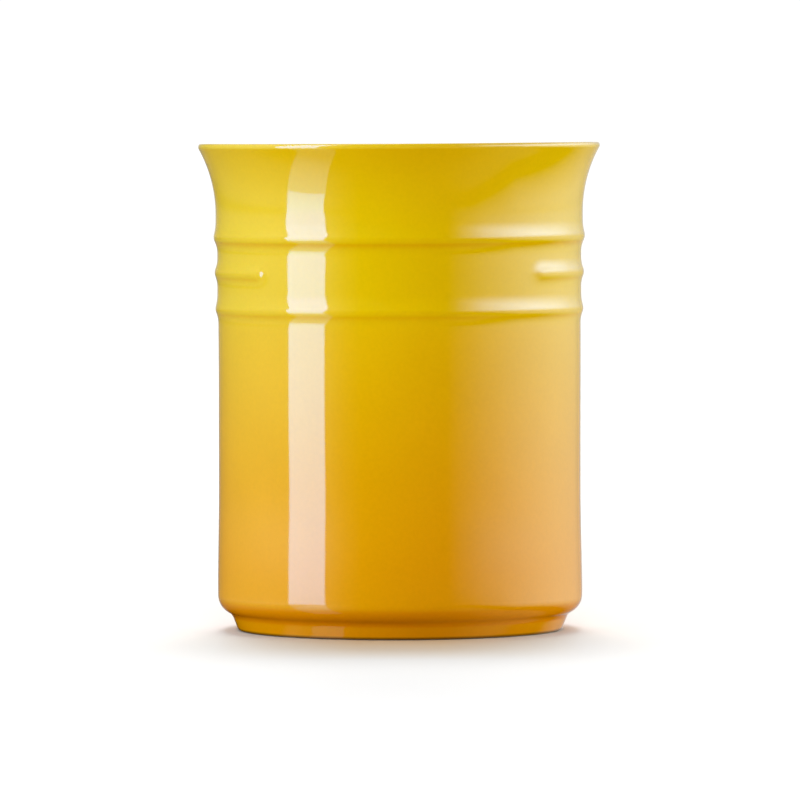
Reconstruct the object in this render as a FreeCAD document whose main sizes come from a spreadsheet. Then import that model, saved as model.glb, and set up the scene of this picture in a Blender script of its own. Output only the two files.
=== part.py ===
import FreeCAD, Part
import math
import operator
import os
import types
import Sketcher

# A glazed stoneware utensil crock: a thrown clay body with a flared lip, three raised ridges
# and a turned foot, under a film of glaze outside, another inside and a third in the foot's recess.
# The axis of the pot is Z, it stands on the plane Z = 0 and its front faces -Y.

doc = FreeCAD.newDocument("utensil_crock")

# Driving sizes in millimetres, measured over the glaze. Names that end in angle are in degrees.
DRIVING_SIZES = {
    # outside, from the lip down
    "crock_height": 150.0,
    "lip_round": 1.2,               # outer edge of the lip
    "lip_inner_round": 1.6,         # inner edge of the lip
    "lip_thickness": 4.2,
    "rim_flare": 5.25,              # how far the lip stands out from the neck
    "flare_height": 21.5,           # lip to the foot of the flare
    "neck_step": 0.5,               # neck beyond the ridged band
    "neck_height": 7.05,            # foot of the flare to the crest of the upper ridge
    "ridge_pitch": 11.2,            # crest to crest
    "upper_ridge_rise": 1.1,        # crests beyond the ridged band
    "middle_ridge_rise": 0.84,
    "lower_ridge_rise": 0.6,
    "ridge_crest_round": 4.6,
    "ridge_under_round": 9.0,       # hollow below a ridge
    "ridge_over_round": 8.0,        # hollow above a ridge
    "ridge_gap_angle": 100.0,       # plain stretch of the middle ridge, centred on the front
    "band_step": 0.25,              # ridged band beyond the straight wall
    "wall_radius": 55.75,
    "shoulder_height": 10.95,       # top of the rounded shoulder
    "shoulder_round": 6.0,
    "cove_round": 3.5,              # hollow between shoulder and foot
    "foot_inset": 5.95,             # foot in from the straight wall
    "foot_lean_angle": 21.6,        # foot's side from upright
    "foot_land": 6.0,               # width of the ring that the pot stands on
    "foot_edge_round": 0.4,
    # inside and underneath
    "wall_thickness": 5.0,
    "throat_depth": 24.0,           # lip to the foot of the inner flare
    "floor_round": 9.0,
    "floor_thickness": 6.3,
    "recess_depth": 2.2,
    "recess_round": 1.0,
    # glaze
    "glaze_thickness": 0.4,
    "glaze_line": 0.6,              # bare clay from the standing plane up to the glaze
}


class Size:
    """A length or an angle: the formula that binds it to the sheet, and its present value."""

    def __init__(self, formula, value):
        self.formula = formula
        self.value = value


def as_size(number):
    return number if isinstance(number, Size) else Size(str(number), number)


def joined_by(symbol, work):
    """Return the operator that joins two sizes into one."""
    def join(left, right):
        one, two = as_size(left), as_size(right)
        return Size(f"({one.formula} {symbol} {two.formula})", work(one.value, two.value))
    return join


Size.__add__ = joined_by("+", operator.add)
Size.__sub__ = joined_by("-", operator.sub)
Size.__mul__ = joined_by("*", operator.mul)
Size.__truediv__ = joined_by("/", operator.truediv)


def cosine(angle):
    return Size(f"cos({angle.formula})", math.cos(math.radians(angle.value)))


def tangent(angle):
    return Size(f"tan({angle.formula})", math.tan(math.radians(angle.value)))


def square_root(size):
    return Size(f"sqrt({size.formula})", math.sqrt(size.value))


def least(*choices):
    return Size(f"min({'; '.join(size.formula for size in choices)})", min(size.value for size in choices))


sheet = doc.addObject("Spreadsheet::Sheet", "sizes")
dim = types.SimpleNamespace()
for row, (name, value) in enumerate(DRIVING_SIZES.items(), start=1):
    sheet.set(f"A{row}", name)
    sheet.set(f"B{row}", str(value))
    sheet.setAlias(f"B{row}", name)
    setattr(dim, name, Size(f"sizes.{name}", value))
doc.recompute()

# Radii and heights that follow from the driving sizes
ground = as_size(0)
no_skin = as_size(0)
film = dim.glaze_thickness
band_radius = dim.wall_radius + dim.band_step
neck_radius = band_radius + dim.neck_step
rim_radius = neck_radius + dim.rim_flare
foot_radius = dim.wall_radius - dim.foot_inset
recess_radius = foot_radius - dim.foot_land
inner_radius = dim.wall_radius - dim.wall_thickness
neck_top = dim.crock_height - dim.flare_height
throat_bottom = dim.crock_height - dim.throat_depth
upper_ridge = neck_top - dim.neck_height
middle_ridge = upper_ridge - dim.ridge_pitch
lower_ridge = middle_ridge - dim.ridge_pitch
floor_top = dim.recess_depth + dim.floor_thickness
lip_outer_centre = rim_radius - dim.lip_round
lip_inner_centre = rim_radius - dim.lip_thickness + dim.lip_inner_round

# A line through the middle of the clay, where a glaze coat is closed before the clay is cut from it
lip_crest = (lip_outer_centre + lip_inner_centre) / 2
below_lip = dim.crock_height - dim.lip_round * 2
mid_wall = dim.wall_radius - dim.wall_thickness / 2
mid_foot = foot_radius - dim.foot_land / 2
mid_floor = dim.recess_depth + dim.floor_thickness / 2

# The part of the space between two ridges that their hollows may fill
hollow_room_share = 0.9

# How near an edge has to run to the surface that it belongs to
near_share = 0.01
near = film.value * near_share


class Section:
    """A closed outline of radius and height, drawn with the solid on the pen's left.

    A coordinate or radius that is a Size is bound to the sheet. A plain number is only where
    the pen starts from: the joints between the strokes settle it.
    """

    def __init__(self, sketch):
        self.sketch = sketch
        self.curves = []
        self.ends = []
        self.rules = []
        self.bindings = []
        self.home = None
        self.pen = None

    def rule(self, kind, *place):
        self.rules.append(Sketcher.Constraint(kind, *place))

    def hold(self, kind, place, size):
        if isinstance(size, Size):
            self.bindings.append((len(self.rules), size.formula))
            self.rule(kind, *place, math.radians(size.value) if kind == "Angle" else size.value)

    def hold_point(self, stroke, vertex, point):
        self.hold("DistanceX", (-1, 1, stroke, vertex), point[0])
        self.hold("DistanceY", (-1, 1, stroke, vertex), point[1])

    def add(self, curve, ends, start, finish, joint):
        stroke = len(self.curves)
        if self.curves:
            self.rule(joint, stroke - 1, self.ends[-1][1], stroke, ends[0])
        else:
            self.home = start
        self.curves.append(curve)
        self.ends.append(ends)
        self.pen = finish
        return stroke

    def line(self, start, finish, run=None, joint="Coincident"):
        """Draw a straight stroke, which run can keep Horizontal or Vertical."""
        here, there = (FreeCAD.Vector(as_size(x).value, as_size(y).value, 0) for x, y in (start, finish))
        stroke = self.add(Part.LineSegment(here, there), (1, 2), here, there, joint)
        if run:
            self.rule(run, stroke)
        self.hold_point(stroke, 1, start)
        self.hold_point(stroke, 2, finish)
        return stroke

    def line_to(self, finish, run=None, joint="Coincident"):
        """Draw a straight stroke from where the pen is."""
        return self.line((self.pen.x, self.pen.y), finish, run, joint)

    def arc(self, centre, radius, begin, end, joint="Tangent"):
        """Draw an arc between two directions in degrees, turning left if they grow."""
        middle = FreeCAD.Vector(as_size(centre[0]).value, as_size(centre[1]).value, 0)
        circle = Part.Circle(middle, FreeCAD.Vector(0, 0, 1), as_size(radius).value)
        start, finish = (circle.value(math.radians(angle)) for angle in (begin, end))
        low, high = sorted((math.radians(begin), math.radians(end)))
        ends = (1, 2) if begin < end else (2, 1)
        stroke = self.add(Part.ArcOfCircle(circle, low, high), ends, start, finish, joint)
        self.hold_point(stroke, 3, centre)
        self.hold("Radius", (stroke,), radius)
        return stroke

    def close(self, run=None):
        """Draw the last stroke back to where the outline began, and make the sketch."""
        stroke = self.line_to((self.home.x, self.home.y), run)
        self.rule("Coincident", stroke, 2, 0, self.ends[0][0])
        self.sketch.addGeometry(self.curves, False)
        self.sketch.addConstraint(self.rules)
        for index, formula in self.bindings:
            self.sketch.setExpression(f"Constraints[{index}]", formula)


def bearing(origin, target):
    """Direction in degrees from one centre to another."""
    dx, dy = (as_size(there).value - as_size(here).value for here, there in zip(origin, target))
    return math.degrees(math.atan2(dy, dx))


def on_circle(centre, radius, angle):
    """Point of a circle in a direction in degrees."""
    turn = math.radians(angle)
    return centre[0] + radius * math.cos(turn), centre[1] + radius * math.sin(turn)


def draw_ridge(section, below, above, crest, height, skin):
    """Draw a raised ridge between two surfaces: hollow, crest and hollow, each tangent to the next."""
    hollows = []
    for hollow, surface, side in ((dim.ridge_under_round, below, -1), (dim.ridge_over_round, above, 1)):
        reach = (hollow + dim.ridge_crest_round).value
        turn = math.acos(1 - (crest - surface).value / reach)
        centre = ((surface + hollow).value, height.value + side * reach * math.sin(turn))
        hollows.append((centre, hollow + skin, math.degrees(turn)))
    (under, under_radius, under_turn), (over, over_radius, over_turn) = hollows
    section.arc(under, under_radius, 180, 180 - under_turn)
    section.arc((crest - dim.ridge_crest_round, height), dim.ridge_crest_round - skin, -under_turn, over_turn)
    section.arc(over, over_radius, 180 + over_turn, 180)


def cove_centre(shoulder):
    """Centre of the hollow that touches the foot's side and, from below, the rounded shoulder."""
    lean = math.radians(dim.foot_lean_angle.value)
    along = FreeCAD.Vector(math.sin(lean), math.cos(lean), 0)
    across = FreeCAD.Vector(math.cos(lean), -math.sin(lean), 0)
    middle = FreeCAD.Vector(shoulder[0].value, shoulder[1].value, 0)
    apart = (dim.shoulder_round + dim.cove_round).value
    offset = FreeCAD.Vector(foot_radius.value, 0, 0) + across * dim.cove_round.value - middle
    nearest = -offset.dot(along)
    lift = nearest - math.sqrt(nearest ** 2 - offset.dot(offset) + apart ** 2)
    centre = middle + offset + along * lift
    return centre.x, centre.y


def draw_outside(section, start_height, skin):
    """Draw the pot's outside from the foot to the lip, set in by a skin."""
    # Foot, cove and rounded shoulder
    lean = dim.foot_lean_angle
    foot = foot_radius + start_height * tangent(lean) - skin / cosine(lean)
    shoulder = (dim.wall_radius - dim.shoulder_round, dim.shoulder_height)
    cove = cove_centre(shoulder)
    turn = bearing(cove, shoulder)
    foot_top = on_circle(cove, (dim.cove_round + skin).value, 180 - lean.value)
    side = section.line((foot, start_height), foot_top)
    section.hold("Angle", (side, 1, -2, 1), lean)
    section.arc(cove, dim.cove_round + skin, 180 - lean.value, turn)
    section.arc(shoulder, dim.shoulder_round - skin, turn - 180, 0)

    # Straight wall, ridged band and neck
    section.line_to((section.pen.x, lower_ridge.value), "Vertical", "Tangent")
    lower_crest = band_radius + dim.lower_ridge_rise
    draw_ridge(section, dim.wall_radius, band_radius, lower_crest, lower_ridge, skin)
    section.line_to((band_radius - skin, upper_ridge.value), "Vertical", "Tangent")
    upper_crest = band_radius + dim.upper_ridge_rise
    draw_ridge(section, band_radius, neck_radius, upper_crest, upper_ridge, skin)
    section.line_to((neck_radius - skin, neck_top.value), "Vertical", "Tangent")

    # Flare and lip
    lip = (lip_outer_centre, dim.crock_height - dim.lip_round)
    out = (lip[0] - neck_radius).value
    rise = (lip[1] - neck_top).value
    edge = dim.lip_round.value
    sweep = (out ** 2 + rise ** 2 - edge ** 2) / (2 * (out + edge))
    flare = (neck_radius.value + sweep, neck_top)
    turn = bearing(lip, flare)
    section.arc(flare, sweep + skin.value, 180, 180 + turn)
    section.arc(lip, dim.lip_round - skin, turn, 90)


def draw_inside(section, skin):
    """Draw the pot's inside from the lip down to the middle of the floor, set back by a skin."""
    lip = (lip_inner_centre, (dim.crock_height - dim.lip_inner_round).value)
    out = (lip_inner_centre - inner_radius).value
    rise = lip[1] - throat_bottom.value
    edge = dim.lip_inner_round.value
    sweep = (out ** 2 + rise ** 2 - edge ** 2) / (2 * (out - edge))
    throat = (inner_radius.value + sweep, throat_bottom)
    turn = bearing(throat, lip)
    section.arc(lip, dim.lip_inner_round - skin, 90, turn)
    section.arc(throat, sweep - skin.value, turn, 180)
    corner = ((inner_radius - dim.floor_round).value, (floor_top + dim.floor_round).value)
    section.line_to((inner_radius + skin, corner[1]), "Vertical", "Tangent")
    section.arc(corner, dim.floor_round + skin, 0, -90)
    section.line_to((ground, floor_top - skin), "Horizontal", "Tangent")


def draw_recess(section, end_height, skin):
    """Draw the recess under the base from its middle out to the foot ring, set back by a skin."""
    ceiling = dim.recess_depth + skin
    corner = ((recess_radius - dim.recess_round).value, (dim.recess_depth - dim.recess_round).value)
    section.line((0, ceiling), (corner[0], ceiling.value), "Horizontal")
    section.arc(corner, dim.recess_round + skin, 90, 0)
    section.line_to((recess_radius + skin, end_height), "Vertical", "Tangent")


def origin_plane(body, role):
    return next(feature for feature in body.Origin.OriginFeatures if feature.Role == role)


def new_section(body, name, role):
    sketch = body.newObject("Sketcher::SketchObject", name)
    sketch.AttachmentSupport = (origin_plane(body, role), [""])
    sketch.MapMode = "FlatFace"
    return Section(sketch)


def revolve(body, name, section, axis="V_Axis"):
    feature = body.newObject("PartDesign::Revolution", name)
    feature.Profile = section.sketch
    feature.ReferenceAxis = (section.sketch, [axis])
    return feature


def round_edges(body, name, radius, chosen):
    """Round the edges of a body's present shape that a test chooses."""
    doc.recompute()
    base = body.Tip
    edges = [f"Edge{number}" for number, edge in enumerate(base.Shape.Edges, start=1)
             if not edge.Degenerated and chosen(edge)]
    feature = body.newObject("PartDesign::Fillet", name)
    feature.Base = (base, edges)
    feature.setExpression("Radius", radius.formula)


def ridge_reach(rise, hollow):
    """Height from a ridge's crest to the far edge of a hollow beside it."""
    return square_root(rise * ((dim.ridge_crest_round + hollow) * 2 - rise))


def bead_hollow():
    """Radius of the hollow at the middle ridge's foot, held clear of the hollows of its neighbours."""
    rise = dim.middle_ridge_rise
    to_upper = dim.ridge_pitch - ridge_reach(dim.upper_ridge_rise, dim.ridge_under_round)
    to_lower = dim.ridge_pitch - ridge_reach(dim.lower_ridge_rise, dim.ridge_over_round)
    room = least(to_upper, to_lower) * hollow_room_share
    widest = (room * room + rise * rise) / (rise * 2) - dim.ridge_crest_round
    return least(dim.ridge_under_round, widest)


def add_middle_ridge(body, skin):
    """Add the ridge that stops short of the front, with domed ends and a hollow all round its foot."""
    centre = (band_radius + dim.middle_ridge_rise - dim.ridge_crest_round, middle_ridge)
    crest = dim.ridge_crest_round - skin
    half_turn = math.degrees(math.acos((mid_wall - centre[0]).value / crest.value))

    # The bead, rooted in the middle of the wall and swept round the back from one end to the other
    section = new_section(body, f"{body.Name}_bead_section", "YZ_Plane")
    section.arc(centre, crest, -half_turn, half_turn)
    section.hold_point(0, 1, (mid_wall, None))
    section.close("Vertical")
    bead = revolve(body, f"{body.Name}_bead", section)
    bead.Midplane = True
    bead.setExpression("Angle", (as_size(360) - dim.ridge_gap_angle).formula)

    # A dome on each end, turned about the line that points straight out from the axis
    section = new_section(body, f"{body.Name}_bead_end_section", "XZ_Plane")
    bead_end = dim.ridge_gap_angle / 2 - 90
    turned = FreeCAD.Rotation(FreeCAD.Vector(0, 1, 0), bead_end.value)
    section.sketch.AttachmentOffset = FreeCAD.Placement(FreeCAD.Vector(), turned)
    section.sketch.setExpression("AttachmentOffset.Rotation.Angle", bead_end.formula)
    section.line((mid_wall, middle_ridge), ((centre[0] + crest).value, middle_ridge.value), "Horizontal")
    section.arc(centre, crest, 0, half_turn, "Coincident")
    section.close("Vertical")
    dome = revolve(body, f"{body.Name}_bead_end", section, "Edge1")
    pair = body.newObject("PartDesign::Mirrored", f"{body.Name}_bead_ends")
    pair.Originals = [dome]
    pair.MirrorPlane = (origin_plane(body, "YZ_Plane"), [""])
    body.Tip = pair

    # The hollow where bead and domes rise from the band
    band = (band_radius - skin).value

    def at_foot(edge):
        points = edge.discretize(9)
        on_band = all(abs(math.hypot(point.x, point.y) - band) < near for point in points)
        beside = all(abs(point.z - middle_ridge.value) < dim.ridge_crest_round.value for point in points)
        upright = isinstance(edge.Curve, Part.Line)
        return on_band and beside and not upright

    round_edges(body, f"{body.Name}_bead_foot", bead_hollow() + skin, at_foot)


def new_body(name):
    body = doc.addObject("PartDesign::Body", name)
    return body, new_section(body, f"{name}_section", "XZ_Plane")


def make_stoneware_body():
    """The clay: everything that lies a glaze film inside the finished pot, down to the bare foot ring."""
    body, section = new_body("stoneware_body")
    draw_outside(section, ground, film)
    section.line_to((lip_inner_centre.value, section.pen.y), "Horizontal", "Tangent")
    draw_inside(section, film)
    section.line_to((0, (dim.recess_depth + film).value), "Vertical")
    draw_recess(section, ground, film)
    section.close()
    revolve(body, "clay_turning", section)
    add_middle_ridge(body, film)

    def at_ground(edge):
        return edge.BoundBox.ZMax < near

    round_edges(body, "foot_rounding", dim.foot_edge_round, at_ground)
    return body


def outer_coat():
    """The finished outside and a part of the clay behind it."""
    body, section = new_body("outer_coat")
    draw_outside(section, dim.glaze_line, no_skin)
    section.line_to((lip_crest, section.pen.y), "Horizontal", "Tangent")
    section.line_to((lip_crest.value, below_lip), "Vertical")
    section.line_to((mid_wall, neck_top))
    section.line_to((mid_wall.value, dim.shoulder_height), "Vertical")
    section.line_to((mid_foot, dim.glaze_line))
    section.close()
    revolve(body, "outer_turning", section)
    add_middle_ridge(body, no_skin)
    return body


def inner_coat():
    """The finished inside and a part of the clay behind it."""
    body, section = new_body("inner_coat")
    section.line((lip_crest, dim.crock_height), (lip_inner_centre.value, dim.crock_height.value), "Horizontal")
    draw_inside(section, no_skin)
    section.line_to((0, mid_floor), "Vertical")
    section.line_to((mid_foot, mid_floor.value), "Horizontal")
    section.line_to((mid_wall, dim.shoulder_height))
    section.line_to((mid_wall.value, neck_top), "Vertical")
    section.line_to((lip_crest, below_lip))
    section.close()
    revolve(body, "inner_turning", section)
    return body


def base_coat():
    """The finished recess under the base and a part of the clay above it."""
    body, section = new_body("base_coat")
    draw_recess(section, dim.glaze_line, no_skin)
    section.line_to((mid_foot, dim.glaze_line.value), "Horizontal")
    section.line_to((mid_foot.value, mid_floor), "Vertical")
    section.line_to((ground, mid_floor.value), "Horizontal")
    section.close("Vertical")
    revolve(body, "base_turning", section)
    return body


def make_glaze(name, coat, clay):
    """A glaze film: its coat with the clay cut away."""
    glaze = doc.addObject("Part::Cut", name)
    glaze.Base = coat
    glaze.Tool = clay
    return glaze


stoneware_body = make_stoneware_body()
pieces = [
    stoneware_body,
    make_glaze("outer_glaze", outer_coat(), stoneware_body),
    make_glaze("inner_glaze", inner_coat(), stoneware_body),
    make_glaze("base_glaze", base_coat(), stoneware_body),
]
for piece in pieces:
    piece.Label = piece.Name
    piece.Placement = FreeCAD.Placement()
doc.recompute()

# Nothing is written unless every step of the model came out whole
for step in doc.Objects:
    if "Invalid" in step.State or "Error" in step.State:
        raise RuntimeError(f"{step.Label} failed: {step.State}")
    if step.isDerivedFrom("Sketcher::SketchObject") and not step.FullyConstrained:
        raise RuntimeError(f"{step.Label} is not fully constrained")
for piece in pieces:
    if piece.Shape.isNull() or not piece.Shape.isValid():
        raise RuntimeError(f"{piece.Label} has no valid shape")
    if len(piece.Shape.Solids) != 1:
        raise RuntimeError(f"{piece.Label} is {len(piece.Shape.Solids)} solids")

os.makedirs("parts", exist_ok=True)
for piece in pieces:
    piece.Shape.exportStep(f"parts/{piece.Label}.step")
    print(f"{piece.Label}: {piece.Shape.Volume:.1f} cubic mm, {len(piece.Shape.Faces)} faces")
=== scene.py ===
import bpy
import math
import numpy as np
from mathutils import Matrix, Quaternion, Vector


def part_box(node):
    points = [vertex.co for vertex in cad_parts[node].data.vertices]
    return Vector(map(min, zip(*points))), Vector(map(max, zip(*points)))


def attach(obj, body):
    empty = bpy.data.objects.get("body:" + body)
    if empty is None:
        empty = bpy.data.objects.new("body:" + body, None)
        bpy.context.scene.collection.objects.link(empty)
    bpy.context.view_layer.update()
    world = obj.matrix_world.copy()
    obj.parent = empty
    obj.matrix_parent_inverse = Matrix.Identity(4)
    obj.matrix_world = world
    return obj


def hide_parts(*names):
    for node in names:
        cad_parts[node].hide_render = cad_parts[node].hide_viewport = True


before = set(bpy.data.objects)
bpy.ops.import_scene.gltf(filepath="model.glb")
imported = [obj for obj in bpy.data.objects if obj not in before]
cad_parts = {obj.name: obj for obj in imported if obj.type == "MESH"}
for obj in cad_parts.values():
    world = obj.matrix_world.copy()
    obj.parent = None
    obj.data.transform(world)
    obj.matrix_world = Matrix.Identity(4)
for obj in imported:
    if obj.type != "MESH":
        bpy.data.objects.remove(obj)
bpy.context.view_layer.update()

# a glazed stoneware utensil crock, turned over the CAD frame and set in a small studio
scene = bpy.context.scene
scene.view_settings.view_transform = "Standard"

glazeLow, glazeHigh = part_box("outer_glaze")
crockHeight = glazeHigh.z
rimRadius = (glazeHigh.x - glazeLow.x) / 2
print("frame loaded: crock", round(crockHeight * 1000, 1), "mm tall")

# the pot as it was thrown, in metres over the glaze
pot = {
    "segments": 256,           # facets round the axis
    "smoothAngle": 40.0,       # edges sharper than this stay crisp, degrees
    "weld": 2e-6,              # points closer than this are one
    "lipRound": 0.0013,        # outer side of the lip
    "lipTopRound": 0.0007,     # its top edge
    "lipTurn": 30.0,           # where the one runs into the other, degrees up from level
    "lipInnerRound": 0.0016,
    "lipThickness": 0.0042,
    "neckRadius": 0.0565,
    "flareHeight": 0.0215,
    "neckHeight": 0.00705,     # foot of the flare to the upper crest
    "ridgePitch": 0.0112,
    "upperRise": 0.0011,       # crests beyond the ridged band
    "middleRise": 0.00084,
    "lowerRise": 0.0006,
    "crestRound": 0.0036,
    "underRound": 0.009,       # hollow below a ridge
    "overRound": 0.016,        # hollow above it
    "middleOverRound": 0.009,
    "plainAngle": 100.0,       # stretch of the band at the front with no middle ridge, degrees
    "bandRadius": 0.056,
    "wallRadius": 0.05575,
    "waistHeight": 0.044,      # where the wall is narrowest
    "waistInset": 0.0001,
    "baseSwell": 0.00033,      # wall beyond its radius at the shoulder
    "shoulderHeight": 0.01095,
    "shoulderRound": 0.006,
    "coveRound": 0.0035,
    "footRadius": 0.0498,
    "footLean": 21.6,          # degrees from upright
    "footLand": 0.006,
    "footEdgeRound": 0.0004,
    "innerRadius": 0.05075,
    "throatDepth": 0.024,
    "floorRound": 0.009,
    "floorTop": 0.0085,
    "recessDepth": 0.0022,
    "recessRound": 0.001,
    "film": 0.0004,            # glaze thickness
    "glazeLine": 0.0006,       # bare clay below it
    "poolReach": 0.0022,       # bend of the surface at which glaze is as thin or as deep as it gets
    "poolSoftness": 4,
    "steepest": 0.38,          # downward lean of a ridge's underside at which its painted shade is darkest
    # strength of the painted shade on the undersides of the ridges and the shoulder
    "undersideShadeDepth": 0.25,
}
footRadius = pot["footRadius"]
neckTop = crockHeight - pot["flareHeight"]
upperRidge = neckTop - pot["neckHeight"]
middleRidge = upperRidge - pot["ridgePitch"]
lowerRidge = middleRidge - pot["ridgePitch"]
lipTurn = math.radians(pot["lipTurn"])
lipOuter = rimRadius - pot["lipRound"] + (pot["lipRound"] - pot["lipTopRound"]) * math.cos(lipTurn)
lipInner = rimRadius - pot["lipThickness"] + pot["lipInnerRound"]
lipCrest = (lipOuter + lipInner) / 2
footLean = math.radians(pot["footLean"])


# outlines: lists of (radius, height), drawn with the clay on the left

def arcRun(centre, radius, begin, end, steps):
    angles = np.radians(np.linspace(begin, end, steps + 1))
    return [(centre[0] + radius * math.cos(a), centre[1] + radius * math.sin(a)) for a in angles]


def lineRun(start, finish, steps):
    shares = np.linspace(0, 1, steps + 1)
    return [(start[0] + (finish[0] - start[0]) * s, start[1] + (finish[1] - start[1]) * s) for s in shares]


def ridgeTurn(rise, hollow):
    return math.degrees(math.acos(1 - rise / (hollow + pot["crestRound"])))


wallTurn = ridgeTurn(pot["bandRadius"] + pot["lowerRise"] - pot["wallRadius"], pot["underRound"])
wallTop = lowerRidge - (pot["underRound"] + pot["crestRound"]) * math.sin(math.radians(wallTurn))


def ridgeRun(below, above, crest, height, skin):
    # hollow, crest and hollow, each running smoothly into the next
    centre = (crest - pot["crestRound"], height)
    under, over = pot["underRound"], pot["overRound"]
    underTurn, overTurn = ridgeTurn(crest - below, under), ridgeTurn(crest - above, over)
    underReach = (under + pot["crestRound"]) * math.sin(math.radians(underTurn))
    overReach = (over + pot["crestRound"]) * math.sin(math.radians(overTurn))
    return (arcRun((below + under, height - underReach), under + skin, 180, 180 - underTurn, steps=8)
            + arcRun(centre, pot["crestRound"] - skin, -underTurn, overTurn, steps=9)
            + arcRun((above + over, height + overReach), over + skin, 180 + overTurn, 180, steps=8))


def wallAt(height):
    # straight wall, with a slight waist and a swell towards the shoulder
    up = (height - pot["waistHeight"]) / (wallTop - pot["waistHeight"])
    down = (pot["waistHeight"] - height) / (pot["waistHeight"] - pot["shoulderHeight"])
    if up >= 0:
        return pot["wallRadius"] - pot["waistInset"] * (1 - min(up, 1) ** 2)
    ease = down * down * (3 - 2 * down)
    return pot["wallRadius"] - pot["waistInset"] + (pot["baseSwell"] + pot["waistInset"]) * ease


def footAt(height, skin):
    return footRadius + height * math.tan(footLean) - skin / math.cos(footLean)


def outsideOutline(skin, startHeight):
    # foot, cove and rounded shoulder
    shoulderRound, coveRound = pot["shoulderRound"], pot["coveRound"]
    shoulder = Vector((wallAt(pot["shoulderHeight"]) - shoulderRound, pot["shoulderHeight"]))
    along = Vector((math.sin(footLean), math.cos(footLean)))
    across = Vector((math.cos(footLean), -math.sin(footLean)))
    offset = Vector((footRadius, 0)) + across * coveRound - shoulder
    lift = -offset.dot(along)
    lift -= math.sqrt(lift ** 2 - offset.length_squared + (shoulderRound + coveRound) ** 2)
    cove = shoulder + offset + along * lift
    turn = math.degrees(math.atan2(shoulder.y - cove.y, cove.x - shoulder.x))
    footTop = cove - across * (coveRound + skin)
    outline = lineRun((footAt(startHeight, skin), startHeight), footTop, steps=4)
    outline += arcRun(cove, coveRound + skin, 180 - pot["footLean"], 180 - turn, steps=8)
    outline += arcRun(shoulder, shoulderRound - skin, -turn, 0, steps=12)

    # wall, with closer rings near the ridges, then the ridged band and the neck
    closeStart = wallTop - pot["underRound"] / 2
    heights = [*np.linspace(pot["shoulderHeight"], closeStart, num=24)]
    heights += [*np.linspace(closeStart, wallTop, num=11)]
    outline += [(wallAt(z) - skin, z) for z in heights]
    band = pot["bandRadius"]
    outline += ridgeRun(pot["wallRadius"], band, band + pot["lowerRise"], lowerRidge, skin)
    upper = ridgeRun(band, pot["neckRadius"], band + pot["upperRise"], upperRidge, skin)
    outline += lineRun(outline[-1], upper[0], steps=32) + upper
    outline += lineRun(upper[-1], (pot["neckRadius"] - skin, neckTop), steps=3)

    # flare and lip
    edge, topEdge = pot["lipRound"], pot["lipTopRound"]
    lipTop = (lipOuter, crockHeight - topEdge)
    lip = (rimRadius - edge, lipTop[1] - (edge - topEdge) * math.sin(lipTurn))
    out, rise = lip[0] - pot["neckRadius"], lip[1] - neckTop
    sweep = (out ** 2 + rise ** 2 - edge ** 2) / (2 * (out + edge))
    flare = (pot["neckRadius"] + sweep, neckTop)
    turn = math.degrees(math.atan2(flare[1] - lip[1], flare[0] - lip[0]))
    outline += arcRun(flare, sweep + skin, 180, 180 + turn, steps=16)
    outline += arcRun(lip, edge - skin, turn, pot["lipTurn"], steps=9)
    outline += arcRun(lipTop, topEdge - skin, pot["lipTurn"], 90, steps=6)
    outline += lineRun(outline[-1], (lipCrest, crockHeight - skin), steps=2)
    return outline


def insideOutline(skin):
    lip = (lipInner, crockHeight - pot["lipInnerRound"])
    throatBottom = crockHeight - pot["throatDepth"]
    out, rise, edge = lip[0] - pot["innerRadius"], lip[1] - throatBottom, pot["lipInnerRound"]
    sweep = (out ** 2 + rise ** 2 - edge ** 2) / (2 * (out - edge))
    throat = (pot["innerRadius"] + sweep, throatBottom)
    turn = math.degrees(math.atan2(lip[1] - throat[1], lip[0] - throat[0]))
    corner = (pot["innerRadius"] - pot["floorRound"], pot["floorTop"] + pot["floorRound"])
    outline = lineRun((lipCrest, crockHeight - skin), (lipInner, crockHeight - skin), steps=2)
    outline += arcRun(lip, edge - skin, 90, turn, steps=8)
    outline += arcRun(throat, sweep - skin, turn, 180, steps=14)
    outline += lineRun(outline[-1], (pot["innerRadius"] + skin, corner[1]), steps=20)
    outline += arcRun(corner, pot["floorRound"] + skin, 0, -90, steps=14)
    outline += lineRun(outline[-1], (0, pot["floorTop"] - skin), steps=8)
    return outline


def recessOutline(skin, endHeight):
    side = footRadius - pot["footLand"]
    corner = (side - pot["recessRound"], pot["recessDepth"] - pot["recessRound"])
    outline = lineRun((0, pot["recessDepth"] + skin), (corner[0], pot["recessDepth"] + skin), steps=8)
    outline += arcRun(corner, pot["recessRound"] + skin, 90, 0, steps=6)
    outline += lineRun(outline[-1], (side + skin, endHeight), steps=2)
    return outline


def roundedEnd(start, finish, steps):
    # half round from one face of the glaze to the other, bulging to the right of the way it goes
    middle = ((start[0] + finish[0]) / 2, (start[1] + finish[1]) / 2)
    begin = math.degrees(math.atan2(start[1] - middle[1], start[0] - middle[0]))
    return arcRun(middle, math.dist(start, finish) / 2, begin, begin + 180, steps)


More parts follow.
